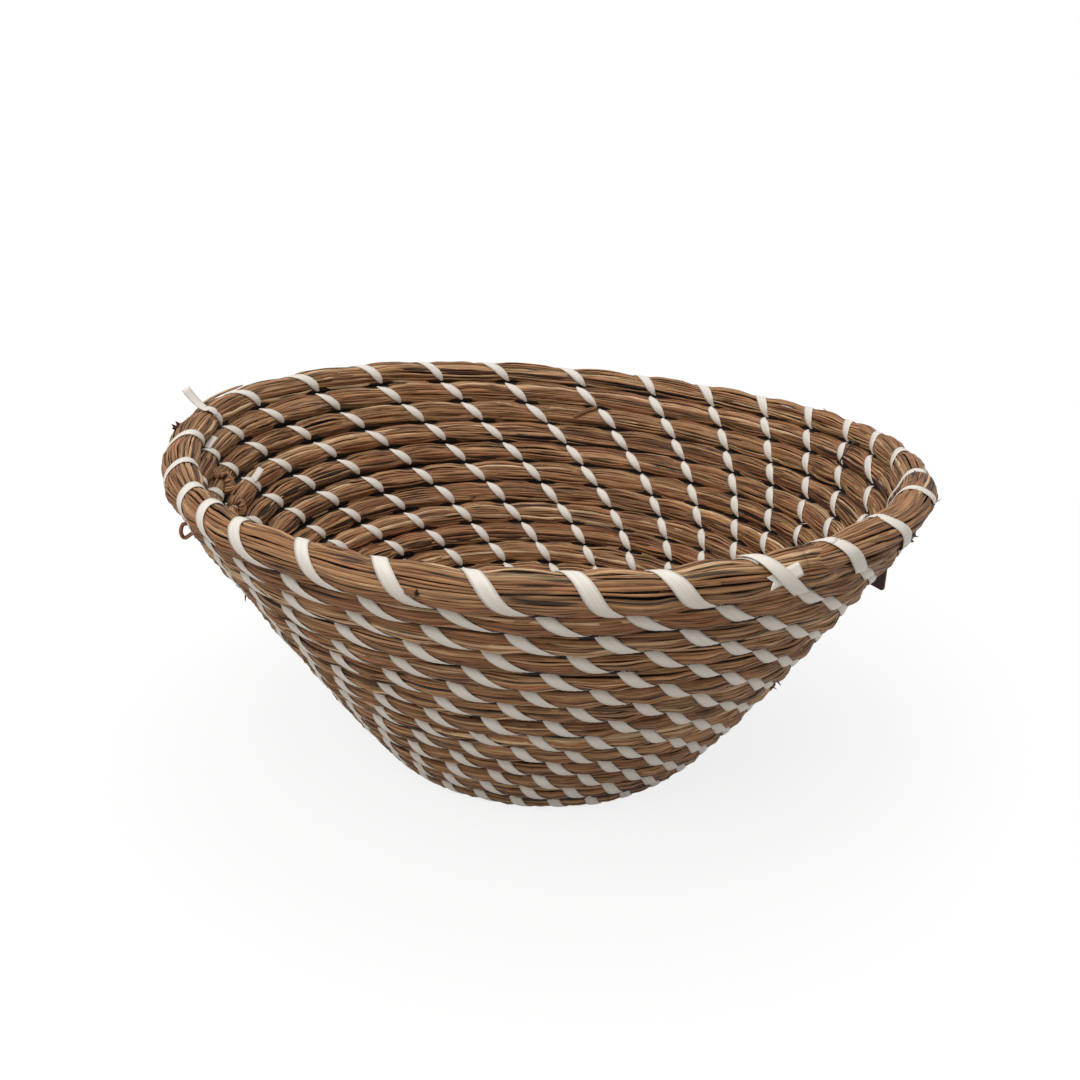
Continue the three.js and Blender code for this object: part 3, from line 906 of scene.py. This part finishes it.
def tubeRings(path, radii, sides, closed=False):
    # Round sections along a path
    tangent = np.gradient(path, axis=0)
    if closed:
        tangent[0] = tangent[-1] = path[1] - path[-2]
    tangent = unit(tangent)
    across = unit(np.cross(tangent[0], [0.31, 0.22, 0.93]))
    frames = []
    for direction in tangent:
        across = unit(across - direction * np.dot(across, direction))
        frames.append(across)
    across = np.array(frames)
    upright = np.cross(tangent, across)
    angle = np.linspace(0, 2 * np.pi, sides, endpoint=False)
    circles = (across[:, None, :] * np.cos(angle)[None, :, None]
               + upright[:, None, :] * np.sin(angle)[None, :, None])
    return path[:, None, :] + np.asarray(radii)[:, None, None] * circles


def tubeGrain(path, radii, sides, shift):
    angle = np.linspace(0, 2 * np.pi, sides, endpoint=False)
    return columns(travelledAlong(path)[:, None], np.asarray(radii)[:, None] * angle[None, :], shift)


def outwardAt(degrees):
    return np.array([math.cos(math.radians(degrees)), math.sin(math.radians(degrees)), 0])


def besidePoint(start, radial, steps):
    # Points some millimetres out from a point and above it
    return [start + radial * out * mm + np.array([0, 0, up * mm]) for out, up in steps]


# Where the ribbon starts and ends: a tail over the rim, a notched end by the thin end, short ends inside
ribbonEnds = {
    "tailOnRim": [(0.6385, -88), (0.6402, -70), (0.6414, -56), (0.6425, -43)],
    "tailFree": [(2.5, 1.7), (5.2, 4.4), (7.9, 7.9)],
    "tailTurn": -34,
    "notched": [(0.9965, 31), (0.9925, 37), (0.989, 43), (0.986, 49)],
    "notchDepth": 2.2 * mm,
    "short": [
        ([(1.6618, -46), (1.657, -50), (1.6530, -55)], 1.5),
        ([(3.6415, -77), (3.636, -72), (3.6305, -66)], 1.5),
        ([(5.21, -22), (5.203, -34), (5.199, -44)], 1.3),
    ],
}


def makeRibbonEnds():
    half = lashing["width"] / 2
    onRim, _ = surfaceLine(ribbonEnds["tailOnRim"], 0.3 * mm, 7)
    radial = outwardAt(azimuthAt(ribbonEnds["tailOnRim"][-1][0]))
    forward = np.array([-radial[1], radial[0], 0])
    free = besidePoint(onRim[-1], radial, ribbonEnds["tailFree"])
    path = smoothLine(np.concatenate([onRim, free]), 30)
    # The loose end turns its face toward the bowl's middle
    twist = math.radians(ribbonEnds["tailTurn"]) * smooth(np.linspace(-0.6, 1, 30))[:, None]
    normals = unit(np.cross(np.gradient(path, axis=0), forward * np.cos(twist) - radial * np.sin(twist)))
    widths = half * np.interp(np.linspace(0, 1, 30), [0, 0.1, 0.75, 1], [0.8, 1, 1, 0.88])
    builder = PieceBuilder()
    addStrip(builder, path, normals, widths, lashing["thickness"])
    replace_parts(builder.finish("ribbon_tail_strip", ribbonMaterial, "bowl", "ribbon"), "ribbon_tail")

    builder = PieceBuilder()
    path, normals = surfaceLine(ribbonEnds["notched"], np.linspace(-0.2, -0.15, 16) * mm, 16)
    addStrip(builder, path, normals, np.full(16, half), lashing["thickness"])
    onward = unit(path[-1] - path[-2])
    side = unit(np.cross(normals[-1], onward))
    for way in (-1, 1):
        share = np.linspace(-0.35, 1, 8)
        taper = half / 2 * (1 - np.clip(share, 0, 1)) + 0.12 * mm
        prong = (path[-1] + onward * (share * ribbonEnds["notchDepth"])[:, None]
                 + side * way * (half - taper)[:, None] + normals[-1] * 0.25 * mm * share[:, None] ** 2)
        addStrip(builder, prong, np.broadcast_to(normals[-1], prong.shape), taper, lashing["thickness"])
    for stops, width in ribbonEnds["short"]:
        path, normals = surfaceLine(stops, np.array([-0.2, 0.3, 0.7, 1.1, 1.6, 2.2]) * mm, 6)
        addStrip(builder, path, normals, np.full(6, width * mm), lashing["thickness"])
    builder.finish("ribbon_cut_ends", ribbonMaterial, "bowl", "ribbon")


makeRibbonEnds()
print("ribbon ends made")

# Grass that has worked loose: folded ends in the wall, splinters, a bent stalk and cut ends
looseGrass = {
    "curls": [(2.6715, -78, 5.6, 9), (3.676, -82, 4.2, 7)],
    "curlOpen": (50, 315),
    "frays": [(0.6585, 30, 12, 0.02, 0.45, 2.3), (1.0700, 78, 5, 0.02, 0.5, 2), (8.066, 95, 4, 0.1, 0.4, 1.5),
              (5.71, 100, 4, 0.35, 0.4, 1.4), (2.11, -60, 4, 0.1, 0.4, 1.4)],
    "scattered": 420,
    "clearOfRibbon": 9.5 * mm,
    "lengths": (3 * mm, 9 * mm),
    "radius": 0.26 * mm,
    "bentStalk": [(1.7345, 66), (1.7385, 96)],
    "bentOut": [(2.0, -0.4), (2.8, -3.1), (1.6, -5.4)],
    "bentRadius": 0.75 * mm,
    "strays": [
        ([(2.3835, -46), (2.3885, -68), (2.3935, -90), (2.3975, -108)], 1),
        ([(5.838, 52), (5.83, 66), (5.822, 84)], 0.4),
        ([(0.6, -20), (0.62, -12), (0.637, -5)], 0.6),
    ],
    "cutStalk": [(0.8652, 57), (0.8672, 55.5), (0.8692, 54)],
    "cutRadius": 1.35 * mm,
}


def toneOf(rng, darkest, palest):
    return np.array([rng.uniform(darkest, palest), rng.uniform(0.1, 0.8), rng.uniform()])


def addRoundStalk(builder, path, radii, sides, tone):
    builder.addTube(tubeRings(path, radii, sides), tubeGrain(path, radii, sides, tone[2] * 40), tone)


def addSplinter(builder, rng, turn, degrees, darkest, palest, rise, stout=1):
    point, normal, forward = bundlePoint(np.array(turn), np.array(math.radians(degrees)), np.array(-0.3 * mm))
    side = unit(np.cross(forward, normal))
    heading = rng.normal(0, 0.35)
    way = 1 if rng.uniform() < 0.5 else -1
    direction = way * (forward * math.cos(heading) + side * math.sin(heading))
    direction = direction + normal * rise * rng.uniform(0.4, 1.3)
    length = rng.uniform(*looseGrass["lengths"]) / math.sqrt(stout)
    share = np.linspace(0, 1, 5)[:, None]
    path = point + unit(direction) * length * share + normal * rng.normal(0, 0.12) * length * share ** 2
    radii = looseGrass["radius"] * stout * rng.uniform(0.6, 1.5) * np.array([1, 1, 0.85, 0.6, 0.15])
    addRoundStalk(builder, path, radii, 4, toneOf(rng, darkest, palest))


def makeLooseGrass():
    rng = np.random.default_rng(77)
    builder = PieceBuilder()
    for turn, degrees, reach, count in looseGrass["curls"]:
        centre, normal, forward = bundlePoint(np.array(turn), np.array(math.radians(degrees)), np.array(0.0))
        side = unit(np.cross(forward, normal))
        for ring in range(count):
            radius = (0.9 + (reach - 0.9) * ring / (count - 1)) * mm
            start, stop = np.radians(looseGrass["curlOpen"]) + rng.uniform(-0.25, 0.25, 2)
            angle = np.linspace(start, stop, 16)
            dome = (2.3 * (1 - (radius / (reach * 1.15 * mm)) ** 2) - 0.3) * mm
            height = dome + 0.3 * mm * np.sin(3 * angle + rng.uniform(0, 6))
            height -= 1.6 * mm * (np.abs(np.linspace(-1, 1, 16)) ** 6)
            path = (centre + radius * 1.1 * np.cos(angle)[:, None] * forward
                    + radius * np.sin(angle)[:, None] * side + height[:, None] * normal)
            addRoundStalk(builder, path, np.full(16, rng.uniform(0.5, 0.72) * mm), 5, toneOf(rng, 0.3, 0.75))
    for turn, degrees, count, darkest, rise, stout in looseGrass["frays"]:
        for _ in range(count):
            addSplinter(builder, rng, turn + rng.normal(0, 0.003), degrees + rng.normal(0, 18), darkest,
                        darkest + 0.2, rise, stout)
    for _ in range(looseGrass["scattered"]):
        turn, degrees = rng.uniform(0.05, coil["wallTurns"]), rng.uniform(-150, 150)
        if stitchDistance(np.array(turn), np.array(math.radians(degrees))) > looseGrass["clearOfRibbon"]:
            addSplinter(builder, rng, turn, degrees, 0.05, 0.95, 0.25)
    base, _ = surfaceLine(looseGrass["bentStalk"], -0.8 * mm, 2)
    radial = outwardAt(azimuthAt(looseGrass["bentStalk"][0][0]))
    path = smoothLine([base[0], *besidePoint(base[0], radial, looseGrass["bentOut"]), base[1]], 26)
    addRoundStalk(builder, path, np.full(26, looseGrass["bentRadius"]), 7, toneOf(rng, 0.3, 0.4))
    for stops, radius in looseGrass["strays"]:
        path, _ = surfaceLine(stops, 0.8 * mm, 9)
        radii = radius * mm * np.array([0.4, 0.9, 1, 1, 1, 1, 1, 0.95, 0.6])
        addRoundStalk(builder, path, radii, 6, toneOf(rng, 0.5, 0.8))
    path, _ = surfaceLine(looseGrass["cutStalk"], np.linspace(-1.2, 0.5, 10) * mm, 10)
    addRoundStalk(builder, path, np.full(10, looseGrass["cutRadius"]), 9, toneOf(rng, 0.4, 0.6))
    # Painted shade: a dark disc in the cut end stands in for the shade inside the hollow stalk
    paintedHollowShade = np.array([path[-2], path[-1] + unit(path[-1] - path[-2]) * 0.06 * mm])
    addRoundStalk(builder, paintedHollowShade, np.full(2, looseGrass["cutRadius"] * 0.62), 9, paintedShadeTone)
    builder.finish("loose_grass", grassMaterial, "bowl", "grass")


makeLooseGrass()
print("loose grass made")

# The hang tag and its thin cord
tag = {
    "hinge": (149.766 * mm, 36.349 * mm, 98.423 * mm),
    "facing": 26.01,
    "outward": 15.01,
    "width": 25 * mm,
    "height": 45 * mm,
    "thickness": 0.8 * mm,
    "corner": 2 * mm,
    "hole": 4 * mm,
    "holeDown": 3.5 * mm,
    "holeUnderCord": 1.45 * mm,
    "cordRadius": 0.32 * mm,
    "cordReach": 12 * mm,
    "cordDrop": 13.5 * mm,
    # The card's colour was taken from its face in shade: its own dark taupe with painted shade in it
    "card": "#5b4b44",
    "cordColour": "#2c231e",
}


def makePaper(name, colour, grainSize, roughness):
    material, tree, shader = newMaterial(name)
    place = addNode(tree, "ShaderNodeTexCoord")
    grainNoise = addNode(tree, "ShaderNodeTexNoise", {"Scale": 1 / grainSize, "Detail": 4},
                         {"Vector": place.outputs["Object"]})
    light = addRange(tree, grainNoise.outputs["Fac"], 0.3, 0.7, 0.92, 1.08)
    base = addNode(tree, "ShaderNodeRGB")
    base.outputs["Color"].default_value = hexColour(colour)
    shaded = addNode(tree, "ShaderNodeVectorMath", {"operation": "SCALE"},
                     {"Vector": base.outputs["Color"], "Scale": light})
    tree.links.new(shaded.outputs["Vector"], shader.inputs["Base Color"])
    addBump(tree, shader, 0.2, 0.05 * mm, grainNoise.outputs["Fac"])
    shader.inputs["Roughness"].default_value = roughness
    return material


def makeTag():
    # Dyed pulp board, die cut with round corners and a punched hole: dull, with a faint fibre grain; its
    # colour is the dyed card as seen in shade, so painted shade is in it
    bpy.ops.object.select_all(action="DESELECT")
    bpy.ops.mesh.primitive_plane_add(size=1)
    card = bpy.context.object
    card.name = "tag_card"
    card.scale = (tag["width"], tag["height"], 1)
    card.location = (0, tag["holeDown"] - tag["holeUnderCord"] - tag["height"] / 2, -tag["thickness"] / 2)
    bpy.ops.object.transform_apply(location=True, rotation=True, scale=True)
    bpy.ops.object.mode_set(mode="EDIT")
    bpy.ops.mesh.select_all(action="SELECT")
    bpy.ops.mesh.bevel(offset=tag["corner"], segments=6, affect="VERTICES")
    bpy.ops.mesh.extrude_region_move(TRANSFORM_OT_translate={"value": (0, 0, tag["thickness"])})
    bpy.ops.mesh.select_all(action="SELECT")
    bpy.ops.mesh.normals_make_consistent(inside=False)
    bpy.ops.object.mode_set(mode="OBJECT")
    bpy.ops.mesh.primitive_cylinder_add(vertices=32, radius=tag["hole"] / 2, depth=5 * tag["thickness"],
                                        location=(0, -tag["holeUnderCord"], 0))
    punch = bpy.context.object
    cut = card.modifiers.new("punched_hole", "BOOLEAN")
    cut.object = punch
    cut.operation = "DIFFERENCE"
    edge = card.modifiers.new("pressed_edge", "BEVEL")
    edge.width = 0.08 * mm
    edge.segments = 2
    bpy.ops.object.select_all(action="DESELECT")
    card.select_set(True)
    bpy.context.view_layer.objects.active = card
    bpy.ops.object.modifier_apply(modifier="punched_hole")
    bpy.ops.object.modifier_apply(modifier="pressed_edge")
    bpy.data.objects.remove(punch, do_unlink=True)
    facing = math.radians(tag["facing"])
    card.data.transform(Matrix((
        (-math.sin(facing), 0, math.cos(facing), tag["hinge"][0]),
        (math.cos(facing), 0, math.sin(facing), tag["hinge"][1]),
        (0, 1, 0, tag["hinge"][2]),
        (0, 0, 0, 1))))
    card.data.materials.append(makePaper("dyed_pulp_board_with_painted_shade", tag["card"], 0.7 * mm, 0.85))
    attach(card, "tag")
    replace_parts(card, "hang_tag")


def makeTagCord():
    # Waxed twisted thread, knotted into a closed loop round the second row
    radial = outwardAt(tag["outward"])
    turn = 1 + (tag["outward"] - coil["endAzimuth"]) / 360
    middle = np.array(tag["hinge"]) - radial * tag["cordReach"] + np.array([0, 0, tag["cordDrop"]])
    lean = float(leanAt(coil["wallTurns"] - turn))
    alongWall = radial * math.cos(lean) + np.array([0, 0, math.sin(lean)])
    throughWall = radial * math.sin(lean) - np.array([0, 0, math.cos(lean)])
    rowMiddle = coilFrame(np.array([turn]))[0][0]

    def beside(along, through):
        return rowMiddle + alongWall * along * mm + throughWall * through * mm

    def level(out, up):
        return middle + radial * (tag["cordReach"] + out * mm) + np.array([0, 0, up * mm - tag["cordDrop"]])

    route = [beside(5.3, -6.4), beside(5.5, 0), beside(5.3, 6.4), level(0.4, 6), level(3.2, 3),
             level(1.75, 0), level(0, 0), level(-1.75, 0),
             beside(-5.3, 6.4), beside(-5.5, 0), beside(-5.3, -6.4), beside(0, -7.4)]
    # One curve a step longer at both ends, of which the closed part is kept
    perStep = 10
    loop = smoothLine(route[-1:] + route + route[:2], perStep * (len(route) + 2) + 1)[perStep:-perStep]
    builder = PieceBuilder()
    radii = np.full(len(loop), tag["cordRadius"])
    builder.addTube(tubeRings(loop, radii, 7, True), tubeGrain(loop, radii, 7, 0), plainTone)
    thread = makePaper("waxed_thread", tag["cordColour"], 0.5 * mm, 0.6)
    cord = builder.finish("tag_cord_loop", thread, "bowl", "loop_cord")
    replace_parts(cord, "tag_loop")
    print("tag cord", round(float(travelledAlong(loop)[-1]) / mm, 1), "mm")


makeTag()
makeTagCord()
print("tag made")

# Camera, at the photograph's viewing angle: the rim's middle is what it was fitted to
camera = {
    "lens": 40,
    "distance": 3.385 * coil["rimRadius"],
    "elevation": 16.601,
    "pitch": 20.701,
    "yaw": -0.417,
    "roll": 1.637,
}


def makeCamera():
    elevation, pitch = math.radians(camera["elevation"]), math.radians(camera["pitch"])
    yaw, roll = math.radians(camera["yaw"]), math.radians(camera["roll"])
    rimHeight = baseHeight + coil["rowSpacing"] * float(upAt(coil["wallTurns"] - 0.5))
    rimMiddle = Vector((*coil["axis"], rimHeight))
    place = rimMiddle + Vector((0, -math.cos(elevation), math.sin(elevation))) * camera["distance"]
    ahead = Vector((math.sin(yaw) * math.cos(pitch), math.cos(yaw) * math.cos(pitch), -math.sin(pitch)))
    level = Vector((math.cos(yaw), -math.sin(yaw), 0))
    upright = level.cross(ahead)
    right = level * math.cos(roll) + upright * math.sin(roll)
    above = upright * math.cos(roll) - level * math.sin(roll)
    data = bpy.data.cameras.new("camera")
    data.lens = camera["lens"]
    data.sensor_width = 36
    data.clip_start, data.clip_end = 0.01, 50
    item = bpy.data.objects.new("camera", data)
    item.matrix_world = Matrix((
        (right.x, above.x, -ahead.x, place.x),
        (right.y, above.y, -ahead.y, place.y),
        (right.z, above.z, -ahead.z, place.z),
        (0, 0, 0, 1)))
    bpy.context.scene.collection.objects.link(item)
    bpy.context.scene.camera = item


makeCamera()

studio = {
    "floorSize": 12,
    "floorPale": "#fbfbfa",
    "floorBounce": "#b9b6b1",
    "whiteShare": 0.82,
    "shadowReach": (0.16, 0.5),
    "worldLight": 0.62,
    "keyPower": 9,
    "keySize": 0.9,
    "keyPlace": (-0.45, -0.75, 1.15),
    "topPower": 7,
    "topSize": 1.4,
    "topPlace": (0.1, 0.25, 1.4),
}


def addSoftLight(name, place, size, power):
    data = bpy.data.lights.new(name, "AREA")
    data.shape = "DISK"
    data.size = size
    data.energy = power
    item = bpy.data.objects.new(name, data)
    item.location = place
    item.rotation_mode = "QUATERNION"
    item.rotation_quaternion = (Vector((0, 0, 0.08)) - Vector(place)).to_track_quat("-Z", "Y")
    bpy.context.scene.collection.objects.link(item)


def makeStudio():
    bpy.ops.mesh.primitive_plane_add(size=studio["floorSize"], location=(0, 0, 0))
    floor = bpy.context.object
    floor.name = "studio_floor"
    material, tree, shader = newMaterial("matt_white_paper_sweep")
    path = addNode(tree, "ShaderNodeLightPath")
    seen = addMath(tree, "MAXIMUM", path.outputs["Is Camera Ray"], path.outputs["Is Glossy Ray"])
    shader.inputs["Base Color"].default_value = hexColour(studio["floorBounce"])
    shader.inputs["Roughness"].default_value = 1
    shader.inputs["Specular IOR Level"].default_value = 0
    place = addNode(tree, "ShaderNodeTexCoord")
    reach = addNode(tree, "ShaderNodeVectorMath", {"operation": "LENGTH"})
    tree.links.new(place.outputs["Object"], reach.inputs[0])
    whiteShare = addRange(tree, reach.outputs["Value"], *studio["shadowReach"], studio["whiteShare"], 1)
    paint = addNode(tree, "ShaderNodeBsdfDiffuse", {"Color": hexColour(studio["floorPale"])})
    glow = addNode(tree, "ShaderNodeEmission", {"Strength": 1})
    white = addNode(tree, "ShaderNodeMixShader", links={"Fac": whiteShare})
    tree.links.new(paint.outputs["BSDF"], white.inputs[1])
    tree.links.new(glow.outputs["Emission"], white.inputs[2])
    shown = addNode(tree, "ShaderNodeMixShader", links={"Fac": seen})
    tree.links.new(shader.outputs["BSDF"], shown.inputs[1])
    tree.links.new(white.outputs["Shader"], shown.inputs[2])
    output = next(n for n in tree.nodes if n.type == "OUTPUT_MATERIAL")
    tree.links.new(shown.outputs["Shader"], output.inputs["Surface"])
    floor.data.materials.append(material)
    world = bpy.data.worlds.new("studio_world")
    bpy.context.scene.world = world
    world.use_nodes = True
    tree = world.node_tree
    background = next(n for n in tree.nodes if n.type == "BACKGROUND")
    background.inputs["Color"].default_value = (1, 1, 1, 1)
    path = addNode(tree, "ShaderNodeLightPath")
    strength = addRange(tree, path.outputs["Is Camera Ray"], 0, 1, studio["worldLight"], 1)
    tree.links.new(strength, background.inputs["Strength"])
    addSoftLight("key_light", studio["keyPlace"], studio["keySize"], studio["keyPower"])
    addSoftLight("top_light", studio["topPlace"], studio["topSize"], studio["topPower"])
    bpy.context.scene.view_settings.view_transform = "Standard"


makeStudio()
print("studio made")
